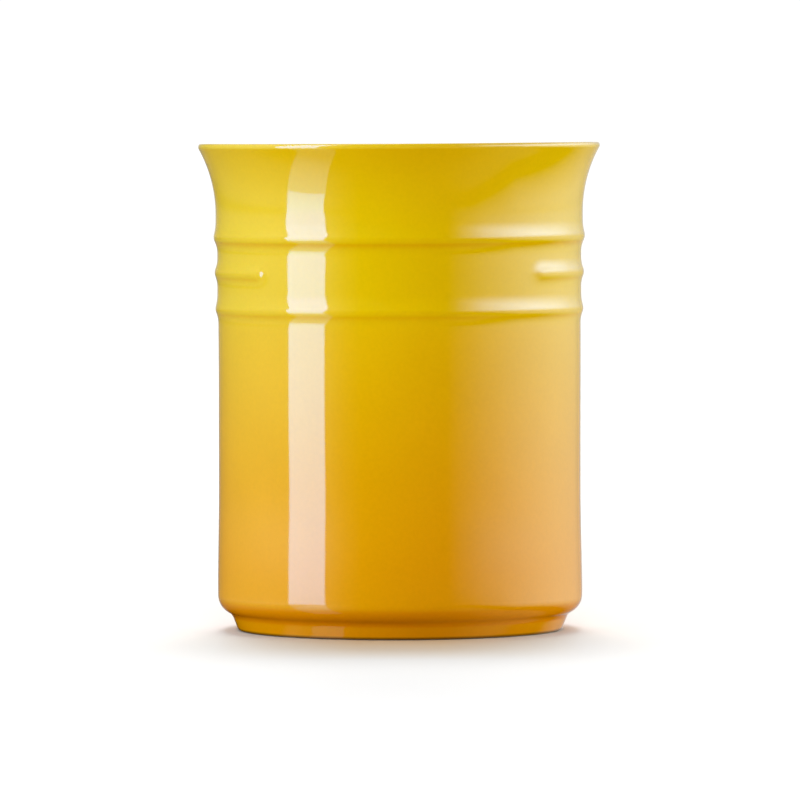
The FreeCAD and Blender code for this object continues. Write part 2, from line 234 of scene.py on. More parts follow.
def spinOutline(name, outline, closed):
    # draw the outline point by point, then turn it on the wheel
    points = [outline[0]]
    for point in outline[1:]:
        if math.dist(point, points[-1]) > pot["weld"]:
            points.append(point)
    if closed:
        points.append(points[0])
    bpy.ops.object.select_all(action="DESELECT")
    bpy.ops.mesh.primitive_plane_add(size=pot["film"])
    piece = bpy.context.object
    piece.name = piece.data.name = name
    bpy.ops.object.mode_set(mode="EDIT")
    bpy.ops.mesh.select_all(action="SELECT")
    bpy.ops.mesh.merge(type="CENTER")
    bpy.ops.transform.translate(value=(points[0][0], 0, points[0][1]))
    for here, there in zip(points, points[1:]):
        bpy.ops.mesh.extrude_region_move(
            TRANSFORM_OT_translate={"value": (there[0] - here[0], 0, there[1] - here[1])})
    bpy.ops.object.mode_set(mode="OBJECT")
    bpy.ops.object.modifier_add(type="SCREW")
    wheel = piece.modifiers[-1]
    wheel.steps = wheel.render_steps = pot["segments"]
    wheel.use_merge_vertices = True
    wheel.merge_threshold = pot["weld"]
    bpy.ops.object.modifier_apply(modifier=wheel.name)
    bpy.ops.object.mode_set(mode="EDIT")
    bpy.ops.mesh.select_all(action="SELECT")
    bpy.ops.mesh.remove_doubles(threshold=pot["weld"])
    bpy.ops.mesh.normals_make_consistent(inside=False)
    bpy.ops.object.mode_set(mode="OBJECT")
    return piece


def readPoints(piece):
    flat = np.empty(len(piece.data.vertices) * 3)
    piece.data.vertices.foreach_get("co", flat)
    return flat.reshape(-1, 3)


def writePoints(piece, points):
    piece.data.vertices.foreach_set("co", points.ravel())
    piece.data.update()


def beadHeight(distance, hollow):
    # height of the middle ridge at a distance from its crest line
    rise, crest = pot["middleRise"], pot["crestRound"]
    foot = np.sqrt(rise * (2 * (hollow + crest) - rise))
    onCrest = rise - crest + np.sqrt(np.maximum(crest ** 2 - distance ** 2, 0))
    inHollow = hollow - np.sqrt(np.maximum(hollow ** 2 - (foot - distance) ** 2, 0))
    height = np.where(distance < foot * crest / (hollow + crest), onCrest, inHollow)
    return np.where(distance < foot, height, 0)


def raiseMiddleRidge(piece):
    # a bead round the back and sides that dies away in a soft dome at each end
    points = readPoints(piece)
    radius = np.hypot(points[:, 0], points[:, 1])
    fromFront = np.abs(np.degrees(np.arctan2(points[:, 0], -points[:, 1])))
    past = np.radians(np.maximum(pot["plainAngle"] / 2 - fromFront, 0)) * radius
    above = points[:, 2] - middleRidge
    distance = np.hypot(above, past)
    upward = (1 + above / np.maximum(distance, pot["weld"])) / 2
    height = beadHeight(distance, pot["underRound"] + (pot["middleOverRound"] - pot["underRound"]) * upward)
    height = np.where(radius > (pot["innerRadius"] + pot["bandRadius"]) / 2, height, 0)
    points[:, :2] *= (1 + height / np.maximum(radius, pot["film"]))[:, None]
    writePoints(piece, points)


# what throwing and firing left: slow waves in the wall, and a lip that sank a little, least at the right
firing = {
    "waves": [                 # turns round the axis, waves up the height, phase, metres
        (2, 0.7, 0.4, 0.00005),
        (3, 1.6, 2.1, 0.00003),
        (5, 2.3, 4.0, 0.000016),
        (1, 3.7, 1.2, 0.000014),
    ],
    "footShare": 0.125,        # they die out below this share of the height
    "sinkStart": 0.70,         # shares of the height between which the sinking sets in
    "sinkFull": 0.82,
    "tilt": 0.00018,           # metres
    "bow": 0.000135,
}


def unevenWall(piece):
    points = readPoints(piece)
    angle = np.arctan2(points[:, 1], points[:, 0])
    share = points[:, 2] / crockHeight
    shift = sum(depth * np.sin(turns * angle + phase) * np.sin(2 * math.pi * waves * share + phase)
                for turns, waves, phase, depth in firing["waves"])
    radius = np.hypot(points[:, 0], points[:, 1])
    shift *= np.clip(radius / footRadius, 0, 1) * np.clip(share / firing["footShare"], 0, 1)
    points[:, :2] *= (1 + shift / np.maximum(radius, pot["film"]))[:, None]
    ease = np.clip((share - firing["sinkStart"]) / (firing["sinkFull"] - firing["sinkStart"]), 0, 1)
    sink = firing["tilt"] * (1 - np.cos(angle)) + firing["bow"] * (1 - np.cos(2 * angle))
    points[:, 2] -= sink * ease ** 2 * (3 - 2 * ease)
    writePoints(piece, points)


def markGlazeDepthAndShading(piece):
    # below zero over sharp edges, where fired glaze thins and is painted paler, partly as a highlight, and
    # above zero in hollows, where it pools, and on downward-facing undersides, where painted shade darkens
    # it
    points = readPoints(piece)
    edges = np.empty(len(piece.data.edges) * 2, dtype=np.int64)
    piece.data.edges.foreach_get("vertices", edges)
    ends = edges.reshape(-1, 2)
    ends = np.vstack((ends, ends[:, ::-1]))
    normals = np.empty(len(points) * 3)
    piece.data.vertex_normals.foreach_get("vector", normals)
    steps = points[ends[:, 1]] - points[ends[:, 0]]
    lengths = np.maximum((steps ** 2).sum(1), pot["weld"] ** 2)
    bend = 2 * (steps * normals.reshape(-1, 3)[ends[:, 0]]).sum(1) / lengths
    count = np.bincount(ends[:, 0], minlength=len(points))
    depth = np.bincount(ends[:, 0], bend, len(points)) / np.maximum(count, 1)
    depth = np.clip(depth * pot["poolReach"], -1, 1)
    for turn in range(pot["poolSoftness"]):
        nearby = np.bincount(ends[:, 0], depth[ends[:, 1]], len(points)) / np.maximum(count, 1)
        depth = (depth + nearby) / 2
    height = points[:, 2]
    ridged = (height > lowerRidge - pot["ridgePitch"]) & (height < upperRidge)
    shoulder = (height > pot["shoulderHeight"] / 2) & (height < pot["shoulderHeight"])
    # painted shade: the more a ridge's underside, the shoulder or the cove faces down, the darker it is made
    undersideShade = pot["undersideShadeDepth"] * np.clip(-normals.reshape(-1, 3)[:, 2] / pot["steepest"], 0, 1) ** 2
    depth = np.where(ridged, np.minimum(depth, 0) + undersideShade, depth)
    depth = np.where(shoulder, np.maximum(depth, undersideShade), depth)
    layer = piece.data.attributes.new("glazeDepthAndShading", "FLOAT", "POINT")
    layer.data.foreach_set("value", depth)


def finishShape(piece, node):
    unevenWall(piece)
    if piece.name.endswith("Glaze"):
        markGlazeDepthAndShading(piece)
    bpy.ops.object.select_all(action="DESELECT")
    piece.select_set(True)
    bpy.context.view_layer.objects.active = piece
    bpy.ops.object.shade_smooth_by_angle(angle=math.radians(pot["smoothAngle"]))
    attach(piece, "root")
    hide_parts(node)
    print(piece.name, len(piece.data.polygons), "faces")


def makeStoneware():
    skin, edge = pot["film"], pot["footEdgeRound"]
    side = footRadius - pot["footLand"] + skin
    outer = footRadius + edge * math.tan(footLean) - (edge + skin) / math.cos(footLean)
    outline = recessOutline(skin, edge)
    outline += arcRun((side + edge, edge), edge, 180, 270, steps=4)
    outline += lineRun(outline[-1], (outer, 0), steps=4)
    outline += arcRun((outer, edge), edge, -90, -pot["footLean"], steps=4)
    outline += outsideOutline(skin, pot["glazeLine"]) + insideOutline(skin)
    piece = spinOutline("stonewareBody", outline, closed=False)
    raiseMiddleRidge(piece)
    finishShape(piece, "stoneware_body")
    return piece


def makeOuterGlaze():
    face = outsideOutline(0, pot["glazeLine"])
    back = outsideOutline(pot["film"], pot["glazeLine"])
    outline = face + back[::-1] + roundedEnd(back[0], face[0], steps=6)
    piece = spinOutline("outerGlaze", outline, closed=True)
    raiseMiddleRidge(piece)
    finishShape(piece, "outer_glaze")
    return piece


def makeInnerGlaze():
    face, back = insideOutline(0), insideOutline(pot["film"])
    piece = spinOutline("innerGlaze", back[::-1] + face, closed=False)
    finishShape(piece, "inner_glaze")
    return piece


def makeBaseGlaze():
    face = recessOutline(0, pot["glazeLine"])
    back = recessOutline(pot["film"], pot["glazeLine"])
    outline = face + roundedEnd(face[-1], back[-1], steps=6) + back[::-1]
    piece = spinOutline("baseGlaze", outline, closed=False)
    finishShape(piece, "base_glaze")
    return piece


stonewareBody = makeStoneware()
outerGlaze = makeOuterGlaze()
innerGlaze = makeInnerGlaze()
baseGlaze = makeBaseGlaze()


# materials

def newMaterial(name):
    material = bpy.data.materials.new(name)
    material.use_nodes = True
    tree = material.node_tree
    return material, tree, tree.nodes["Principled BSDF"]


def addNode(tree, kind, **settings):
    node = tree.nodes.new(kind)
    for key, value in settings.items():
        setattr(node, key, value)
    return node


def setRamp(node, stops):
    ramp = node.color_ramp
    while len(ramp.elements) < len(stops):
        ramp.elements.new(0.5)
    for element, (position, colour) in zip(ramp.elements, stops):
        element.position = position
        element.color = (*colour, 1)


# glaze colours from the foot up: (share of the height, linear colour)
ombre = [
    (0.0045, (0.25, 0.085, 0.0003)),     # painted contact shade at the foot of the glaze, above the bare clay
    (0.0075, (0.785, 0.265, 0.0003)),
    (0.06, (0.785, 0.305, 0.0003)),
    (0.14, (0.785, 0.308, 0.0003)),
    (0.31, (0.785, 0.340, 0.0003)),
    (0.47, (0.785, 0.381, 0.0003)),
    (0.615, (0.785, 0.422, 0.0003)),
    (0.665, (0.785, 0.461, 0.0003)),
    (0.83, (0.785, 0.470, 0.0003)),
    (1.00, (0.785, 0.442, 0.0003)),
]


def combine(tree, operation, first, second=None):
    node = addNode(tree, "ShaderNodeMath", operation=operation)
    for socket, value in zip(node.inputs, (first, second)):
        if isinstance(value, (int, float)):
            socket.default_value = value
        elif value is not None:
            tree.links.new(value, socket)
    return node.outputs[0]


def noise(tree, place, scale, detail):
    node = addNode(tree, "ShaderNodeTexNoise")
    node.inputs["Scale"].default_value = scale
    node.inputs["Detail"].default_value = detail
    tree.links.new(place, node.inputs["Vector"])
    return node.outputs["Fac"]


def spread(tree, source, low, high, toLow, toHigh):
    # a value that runs from toLow to toHigh while the source runs from low to high
    node = addNode(tree, "ShaderNodeMapRange")
    for socket, value in zip(node.inputs[1:5], (low, high, toLow, toHigh)):
        socket.default_value = value
    tree.links.new(source, node.inputs["Value"])
    return node.outputs["Result"]


def blend(tree, factor, first, second, kind="MIX"):
    # inputs 6 and 7 and output 2 are the Mix node's colours
    node = addNode(tree, "ShaderNodeMix", data_type="RGBA", blend_type=kind)
    tree.links.new(factor, node.inputs["Factor"])
    for socket, value in ((node.inputs[6], first), (node.inputs[7], second)):
        if isinstance(value, tuple):
            socket.default_value = (*value, 1)
        else:
            tree.links.new(value, socket)
    return node.outputs[2]


# how the fired glaze varies over the pot
glazeLook = {
    "linerColour": (0.75, 0.49, 0.001),
    "baseColour": (0.70, 0.275, 0.001),
    "thinAndSheenColour": (0.86, 0.62, 0.06),    # where it runs thin over an edge, and as a painted highlight along the lip
    "thinAndSheenRange": (-0.4, -0.9),
    "thinAndSheenMost": 0.2,
    "poolAndShadeColour": (0.97, 0.82, 0.50),    # multiplied in where it pools in a hollow, and as painted shade under the ridges and the shoulder
    "poolAndShadeRange": (0.06, 0.25),
    "poolAndShadeMost": 1.0,
    "cloudScale": 45,                    # faint clouds in the colour
    "cloudDepth": 0.018,
    "grainScale": 900,                   # pigment grain
    "grainDepth": 0.015,
    "noiseRange": (0.3, 0.7),
    "roughness": (0.045, 0.07),
    "waveScale": 55,                     # soft unevenness of the fired surface
    "waveHeight": 0.00002,
    "peelScale": 700,
    "peelHeight": 0.0000012,
}


def glazeFinish(tree, shader, colour):
    # paler thin edges, partly a painted highlight along the lip, hollows darkened by pooled glaze and by
    # painted shade under the ridges and shoulder, faint clouds and grain, and a soft orange peel in the
    # gloss
    look = glazeLook
    place = addNode(tree, "ShaderNodeTexCoord").outputs["Object"]
    depth = addNode(tree, "ShaderNodeAttribute", attribute_name="glazeDepthAndShading").outputs["Fac"]
    cloud = noise(tree, place, look["cloudScale"], detail=4)
    grain = noise(tree, place, look["grainScale"], detail=1)
    # paler where the glaze runs thin over an edge, which also paints the highlight along the lip
    thinAndSheen = spread(tree, depth, *look["thinAndSheenRange"], 0.0, look["thinAndSheenMost"])
    # pooled glaze in hollows, and painted shade under the ridges and the shoulder
    poolAndShade = spread(tree, depth, *look["poolAndShadeRange"], 0.0, look["poolAndShadeMost"])
    colour = blend(tree, thinAndSheen, colour, look["thinAndSheenColour"])
    colour = blend(tree, poolAndShade, colour, look["poolAndShadeColour"], "MULTIPLY")
    clouds = spread(tree, cloud, *look["noiseRange"], -look["cloudDepth"], look["cloudDepth"])
    grains = spread(tree, grain, *look["noiseRange"], 1 - look["grainDepth"], 1 + look["grainDepth"])
    tone = addNode(tree, "ShaderNodeHueSaturation")
    tree.links.new(combine(tree, "ADD", clouds, grains), tone.inputs["Value"])
    tree.links.new(colour, tone.inputs["Color"])
    tree.links.new(tone.outputs[0], shader.inputs["Base Color"])
    rough = spread(tree, cloud, *look["noiseRange"], *look["roughness"])
    tree.links.new(rough, shader.inputs["Roughness"])
    wave = addNode(tree, "ShaderNodeBump")
    wave.inputs["Distance"].default_value = look["waveHeight"]
    tree.links.new(noise(tree, place, look["waveScale"], detail=0), wave.inputs["Height"])
    peel = addNode(tree, "ShaderNodeBump")
    peel.inputs["Distance"].default_value = look["peelHeight"]
    tree.links.new(noise(tree, place, look["peelScale"], detail=0), peel.inputs["Height"])
    tree.links.new(wave.outputs[0], peel.inputs["Normal"])
    tree.links.new(peel.outputs[0], shader.inputs["Normal"])


def ombreGlaze():
    material, tree, shader = newMaterial("ombreGlaze")
    place = addNode(tree, "ShaderNodeTexCoord")
    axes = addNode(tree, "ShaderNodeSeparateXYZ")
    ramp = addNode(tree, "ShaderNodeValToRGB")
    setRamp(ramp, ombre)
    tree.links.new(place.outputs["Object"], axes.inputs[0])
    tree.links.new(combine(tree, "DIVIDE", axes.outputs["Z"], crockHeight), ramp.inputs[0])
    glazeFinish(tree, shader, ramp.outputs[0])
    return material


def plainGlaze(name, colour):
    material, tree, shader = newMaterial(name)
    glazeFinish(tree, shader, colour)
    return material


# bare stoneware: buff, with iron specks and a sandy grain
clayLook = {
    "pale": (0.60, 0.49, 0.36),
    "dark": (0.47, 0.36, 0.24),
    "speck": (0.16, 0.09, 0.05),
    "paintedContactShade": (0.13, 0.065, 0.03),      # painted contact shade on the bare clay beside the glaze
    "cloudScale": 90,
    "cloudRange": (0.35, 0.65),
    "speckScale": 1300,
    "speckRange": (0.68, 0.74),
    "speckMost": 0.8,
    "grainScale": 2600,
    "grainRange": (0.3, 0.7),
    "grainHeight": 0.00003,
    "roughness": (0.7, 0.95),
    "specular": 0.2,
}


def firedClay():
    material, tree, shader = newMaterial("firedClay")
    place = addNode(tree, "ShaderNodeTexCoord").outputs["Object"]
    cloud = noise(tree, place, clayLook["cloudScale"], detail=5)
    grain = noise(tree, place, clayLook["grainScale"], detail=3)
    specks = noise(tree, place, clayLook["speckScale"], detail=1)
    specks = spread(tree, specks, *clayLook["speckRange"], 0.0, clayLook["speckMost"])
    clouds = spread(tree, cloud, *clayLook["cloudRange"], 0, 1)
    colour = blend(tree, clouds, clayLook["dark"], clayLook["pale"])
    colour = blend(tree, specks, colour, clayLook["speck"])
    axes = addNode(tree, "ShaderNodeSeparateXYZ")
    tree.links.new(place, axes.inputs[0])
    # painted contact shade: the bare clay goes dark above its lowest fifth of a millimetre
    contactShade = spread(tree, axes.outputs["Z"], 0, pot["footEdgeRound"] / 2, 0, 1)
    colour = blend(tree, contactShade, colour, clayLook["paintedContactShade"])
    tree.links.new(colour, shader.inputs["Base Color"])
    rough = spread(tree, grain, *clayLook["grainRange"], *clayLook["roughness"])
    tree.links.new(rough, shader.inputs["Roughness"])
    shader.inputs["Specular IOR Level"].default_value = clayLook["specular"]
    sand = addNode(tree, "ShaderNodeBump")
    sand.inputs["Distance"].default_value = clayLook["grainHeight"]
    tree.links.new(grain, sand.inputs["Height"])
    tree.links.new(sand.outputs[0], shader.inputs["Normal"])
    return material


outerGlaze.data.materials.append(ombreGlaze())
innerGlaze.data.materials.append(plainGlaze("linerGlaze", glazeLook["linerColour"]))
baseGlaze.data.materials.append(plainGlaze("baseGlaze", glazeLook["baseColour"]))
stonewareBody.data.materials.append(firedClay())
print("materials on")


# stage: floor, light and camera

def addPlane(name, width, height, place, facing):
    # a card whose face looks along a direction, with its base upright
    bpy.ops.object.select_all(action="DESELECT")
    bpy.ops.mesh.primitive_plane_add(size=1)
    card = bpy.context.object
    card.name = name
    card.scale = (width, height, 1)
    card.location = place
    card.rotation_mode = "QUATERNION"
    card.rotation_quaternion = Vector(facing).to_track_quat("Z", "Y")
    return card


def stageMaterial(card):
    # an empty material, and the socket that its finished shader goes to
    material = bpy.data.materials.new(card.name)
    material.use_nodes = True
    tree = material.node_tree
    tree.nodes.clear()
    output = addNode(tree, "ShaderNodeOutputMaterial")
    card.data.materials.append(material)
    return tree, output.inputs["Surface"]


def seenBy(card, *rays):
    # the kinds of ray that meet a card, which casts no shadow
    card.visible_camera = "camera" in rays
    card.visible_diffuse = "diffuse" in rays
    card.visible_glossy = "glossy" in rays
    card.visible_shadow = False


def floorPlace(tree):
    # a place on the floor: to the right, towards the back, and away from the axis
    place = addNode(tree, "ShaderNodeNewGeometry").outputs["Position"]
    axes = addNode(tree, "ShaderNodeSeparateXYZ")
    reach = addNode(tree, "ShaderNodeVectorMath", operation="LENGTH")
    tree.links.new(place, axes.inputs[0])
    tree.links.new(place, reach.inputs[0])
    return axes.outputs["X"], axes.outputs["Y"], reach.outputs["Value"]


def showWhere(tree, factor, shader, surface):
    # the shader where the factor is 1, and clear where it is 0
    clear = addNode(tree, "ShaderNodeBsdfTransparent")
    mix = addNode(tree, "ShaderNodeMixShader")
    tree.links.new(factor, mix.inputs[0])
    tree.links.new(clear.outputs[0], mix.inputs[1])
    tree.links.new(shader.outputs[0], mix.inputs[2])
    tree.links.new(mix.outputs[0], surface)


def darkness(tree):
    dark = addNode(tree, "ShaderNodeEmission")
    dark.inputs["Strength"].default_value = 0.0
    return dark


# the pale floor that keeps the shadow, with a warm painted tint in front of the foot for the light the pot
# throws on it, in metres
floorLook = {
    "size": 12,
    "centre": 2,                    # behind the pot
    "pale": (0.5, 0.5, 0.5),
    "paintedBounce": (0.5, 0.38, 0.24),
    "paintedBounceSide": (0.012, 0.055),     # the painted tint fades sideways,
    "paintedBounceFront": (-0.13, -0.055),   # towards the camera
    "paintedBounceBack": (-0.04, 0),         # and under the pot
}


def makeFloor():
    look = floorLook
    floor = addPlane("floor", look["size"], look["size"], (0, look["centre"], 0), (0, 0, 1))
    tree, surface = stageMaterial(floor)
    right, back, reach = floorPlace(tree)
    # painted bounce light: a warm tint on the floor in front of the foot
    paintedBounce = spread(tree, combine(tree, "ABSOLUTE", right), *look["paintedBounceSide"], 1, 0)
    paintedBounce = combine(tree, "MULTIPLY", paintedBounce, spread(tree, back, *look["paintedBounceFront"], 0, 1))
    paintedBounce = combine(tree, "MULTIPLY", paintedBounce, spread(tree, back, *look["paintedBounceBack"], 1, 0))
    pale = addNode(tree, "ShaderNodeBsdfDiffuse")
    tree.links.new(blend(tree, paintedBounce, look["pale"], look["paintedBounce"]), pale.inputs["Color"])
    tree.links.new(pale.outputs[0], surface)
    seenBy(floor, "camera")
    return floor


# the light that the floor sends back up onto the pot
bounceLook = {
    "drop": 0.001,                  # below the floor that is seen
    "colour": (0.55, 0.55, 0.55),
    "glow": 0.1,
    "sideGlow": 0.1,                # more of it close by, on both sides
    "sideStart": 0.01,
    "near": (1.3, 2.2),             # in radii of the lip
}


def makeFloorBounce():
    look = bounceLook
    size = floorLook["size"]
    floor = addPlane("floorBounce", size, size, (0, floorLook["centre"], -look["drop"]), (0, 0, 1))
    tree, surface = stageMaterial(floor)
    right, back, reach = floorPlace(tree)
    near = spread(tree, reach, *(share * rimRadius for share in look["near"]), 1, 0)
    aside = spread(tree, combine(tree, "ABSOLUTE", right), look["sideStart"], rimRadius, 0, look["sideGlow"])
    strength = combine(tree, "ADD", combine(tree, "MULTIPLY", near, aside), look["glow"])
    glow = addNode(tree, "ShaderNodeEmission")
    tree.links.new(strength, glow.inputs["Strength"])
    bounce = addNode(tree, "ShaderNodeBsdfDiffuse")
    bounce.inputs["Color"].default_value = (*look["colour"], 1)
    lit = addNode(tree, "ShaderNodeAddShader")
    tree.links.new(bounce.outputs[0], lit.inputs[0])
    tree.links.new(glow.outputs[0], lit.inputs[1])
    tree.links.new(lit.outputs[0], surface)
    seenBy(floor, "diffuse")
    return floor


# a dark sheet seen only in the glaze: painted shadow of the floor close to the pot, on the left and behind,
# as the glaze mirrors it
shadeLook = {
    "size": 8,                      # in radii of the foot
    "inner": (0.008, 0.016),        # one half of it fades over these distances from the foot,
    "outer": (0.03, 0.03 + footRadius),    # and the other half over these
    "leftward": (-0.003, 0.005),    # where it sets in
}


def makeShade():
    look = shadeLook
    size = look["size"] * footRadius
    shade = addPlane("shade", size, size, (0, 0, 0), (0, 0, 1))
    tree, surface = stageMaterial(shade)
    right, back, reach = floorPlace(tree)
    inner = spread(tree, reach, *(footRadius + far for far in look["inner"]), 0.5, 0)
    outer = spread(tree, reach, *(footRadius + far for far in look["outer"]), 0.5, 0)
    leftward = spread(tree, combine(tree, "SUBTRACT", back, right), *look["leftward"], 0, 1)
    cover = combine(tree, "MULTIPLY", combine(tree, "ADD", inner, outer), leftward)
    showWhere(tree, cover, darkness(tree), surface)
    seenBy(shade, "glossy")


# the tall soft box on the left, and its fainter lower part, in metres
leftStrip = {
    "place": (-0.635, -0.378),
    "width": 0.36,
    "low": -0.085,
    "high": 1.15,
    "colour": (0.27, 0.58, 1.0),
    "upperColour": (0.27, 0.46, 1.0),
    "tinting": (0.04, 0.13),        # heights over which the one turns into the other
    "bottom": 8.0,                  # strengths
    "top": 14.8,
    "brightening": (-0.11, 0.18),
    "waist": (0.08, 0.12),          # narrower below these heights
    "waistShare": 0.925,
    "arch": 0.012,                  # rise of the bottom edge
}
leftStripLow = {
    "place": (-0.640, -0.381),
    "width": 0.35,
    "low": -0.9,
    "high": -0.03,
    "colour": (0.4, 0.7, 1.0),
    "upperColour": (0.4, 0.7, 1.0),
    "tinting": (0.0, 1.0),
    "bottom": 0.7,
    "top": 4.0,
    "brightening": (-0.55, -0.05),
    "waist": (0.0, 1.0),
    "waistShare": 1.0,
    "arch": 0.0,
}


def glowCard(name, look):
    # a soft box that only shows in the glaze
    low, high = look["low"], look["high"]
    facing = (*(-a for a in look["place"]), 0)
    card = addPlane(name, look["width"], high - low, (*look["place"], (high + low) / 2), facing)
    tree, surface = stageMaterial(card)
    place = addNode(tree, "ShaderNodeTexCoord")
    axes = addNode(tree, "ShaderNodeSeparateXYZ")
    tree.links.new(place.outputs["Object"], axes.inputs[0])
    across, along = axes.outputs["X"], axes.outputs["Y"]

    def share(z):
        return (z - low) / (high - low) - 0.5    # a height, as the card's own Y

    glow = addNode(tree, "ShaderNodeEmission")
    bright = spread(tree, along, *map(share, look["brightening"]), look["bottom"], look["top"])
    tint = spread(tree, along, *map(share, look["tinting"]), 0, 1)
    tree.links.new(bright, glow.inputs["Strength"])
    tree.links.new(blend(tree, tint, look["colour"], look["upperColour"]), glow.inputs["Color"])
    side = spread(tree, along, *map(share, look["waist"]), look["waistShare"] / 2, 0.5)
    inside = combine(tree, "LESS_THAN", combine(tree, "ABSOLUTE", across), side)

    # the bottom edge is highest in its middle
    bow = combine(tree, "MULTIPLY", combine(tree, "MULTIPLY", across, across), -4 * look["arch"])
    edge = combine(tree, "ADD", bow, share(low + look["arch"]))
    shown = combine(tree, "MULTIPLY", inside, combine(tree, "GREATER_THAN", along, edge))
    showWhere(tree, shown, glow, surface)
    seenBy(card, "glossy")


# a dark flag close to the front, which keeps the soft box from glancing off it towards the right
boxFlag = {"place": (-0.007, -0.0763, 0.08), "width": 0.034, "height": 0.2}


def makeFlag():
    facing = (*leftStrip["place"], 0)
    flag = addPlane("boxFlag", boxFlag["width"], boxFlag["height"], boxFlag["place"], facing)
    tree, surface = stageMaterial(flag)
    tree.links.new(darkness(tree).outputs[0], surface)
    seenBy(flag, "glossy")


def towards(azimuth, elevation):
    turn, lift = math.radians(azimuth), math.radians(elevation)
    return Vector((math.sin(turn) * math.cos(lift), -math.cos(turn) * math.cos(lift), math.sin(lift)))


# what the glaze mirrors: glow by degrees right of the camera, and by degrees above the horizon
surround = {
    "most": 10.0,                           # the glow that a ramp holds as 1
    "around": [
        (-180, 0.9), (-166, 0.35), (-155, 0.24), (-145, 0.29), (-125, 0.58), (-95, 1.2), (-85, 1.31),
        (-50, 1.12), (-40, 0.5), (-35, 0.24), (-28, 0.06), (-15, 0), (30, 0), (35, 0.3), (39, 0.65),
        (46, 1.15), (56, 1.4), (66, 1.47), (86, 2.1), (96, 2.2), (106, 2.12), (116, 1.88), (136, 1.12),
        (156, 0.5), (168, 0.5), (180, 0.9),
    ],
    "leftUp": [
        (-46, 0), (-38, 0.08), (-30, 0.36), (-22, 0.5), (-10, 0.77), (-6.5, 0.72), (-4.5, 0.52),
        (-3.5, 0.5), (-2.5, 0.57), (-0.5, 1.0), (10, 1.0), (45, 1.6),
    ],
    "rightLow": ((45, -7), (80, -23)),      # lower edge of the glow on the right
    "rightUp": [                            # by degrees above that edge
        (-42, 0), (-32, 0.05), (-18, 0.1), (-13, 0.07), (-11, 0), (-1, 0), (1, 0.16), (5, 0.44), (9, 0.66),
        (16, 1.0),
    ],
    "rightTop": [(12, 1.0), (26, 0.6), (50, 0.15)],
    "backdrop": ((0.35, 0.8), (0.3, 0.6), 0.9),    # from how far back, how high, and how bright
    "boxAround": [                          # a large soft box far to the right
        (36, 0), (46, 1.5), (56, 4.7), (66, 6.6), (76, 8.1), (86, 8.5), (96, 8.3), (116, 5.7), (136, 2.2),
        (146, 1.4), (156, 0.8), (180, 0.2),
    ],
    "boxUp": [(-2, 0), (0, 0.13), (6, 0.52), (14, 1.0), (18, 1.0), (27, 0.75), (40, 0.25), (60, 0)],
    "boxColour": (0.42, 0.66, 1.0),
    "dimmest": 25,                          # the soft light all round is dimmest from here
    "ambient": ((-1, 0.3), (0.22, 0.88)),
    "seen": 1.05,                           # white backdrop
}


def glowRamp(tree, source, stops, span):
    # a smooth run of glow over an angle that goes from minus span to span, in degrees
    ramp = addNode(tree, "ShaderNodeValToRGB")
    setRamp(ramp, [((angle / span + 1) / 2, (glow / surround["most"],) * 3) for angle, glow in stops])
    tree.links.new(spread(tree, source, -math.radians(span), math.radians(span), 0, 1), ramp.inputs[0])
    return ramp.outputs["Color"]


def sideGlow(tree, azimuth, elevation, right):
    # rises with height in one way on the left, and above a slanting edge on the right
    (nearTurn, nearLift), (farTurn, farLift) = surround["rightLow"]
    lowEdge = spread(tree, azimuth, *map(math.radians, (nearTurn, farTurn, nearLift, farLift)))
    rightUp = glowRamp(tree, combine(tree, "SUBTRACT", elevation, lowEdge), surround["rightUp"], 90)
    rightTop = glowRamp(tree, elevation, surround["rightTop"], 90)
    rightUp = combine(tree, "MULTIPLY", combine(tree, "MULTIPLY", rightUp, rightTop), surround["most"])
    leftUp = glowRamp(tree, elevation, surround["leftUp"], 90)
    rising = addNode(tree, "ShaderNodeMix")
    tree.links.new(combine(tree, "GREATER_THAN", right, 0), rising.inputs["Factor"])
    tree.links.new(leftUp, rising.inputs["A"])
    tree.links.new(rightUp, rising.inputs["B"])
    around = glowRamp(tree, azimuth, surround["around"], 180)
    glow = combine(tree, "MULTIPLY", around, rising.outputs["Result"])
    return combine(tree, "MULTIPLY", glow, surround["most"] ** 2)


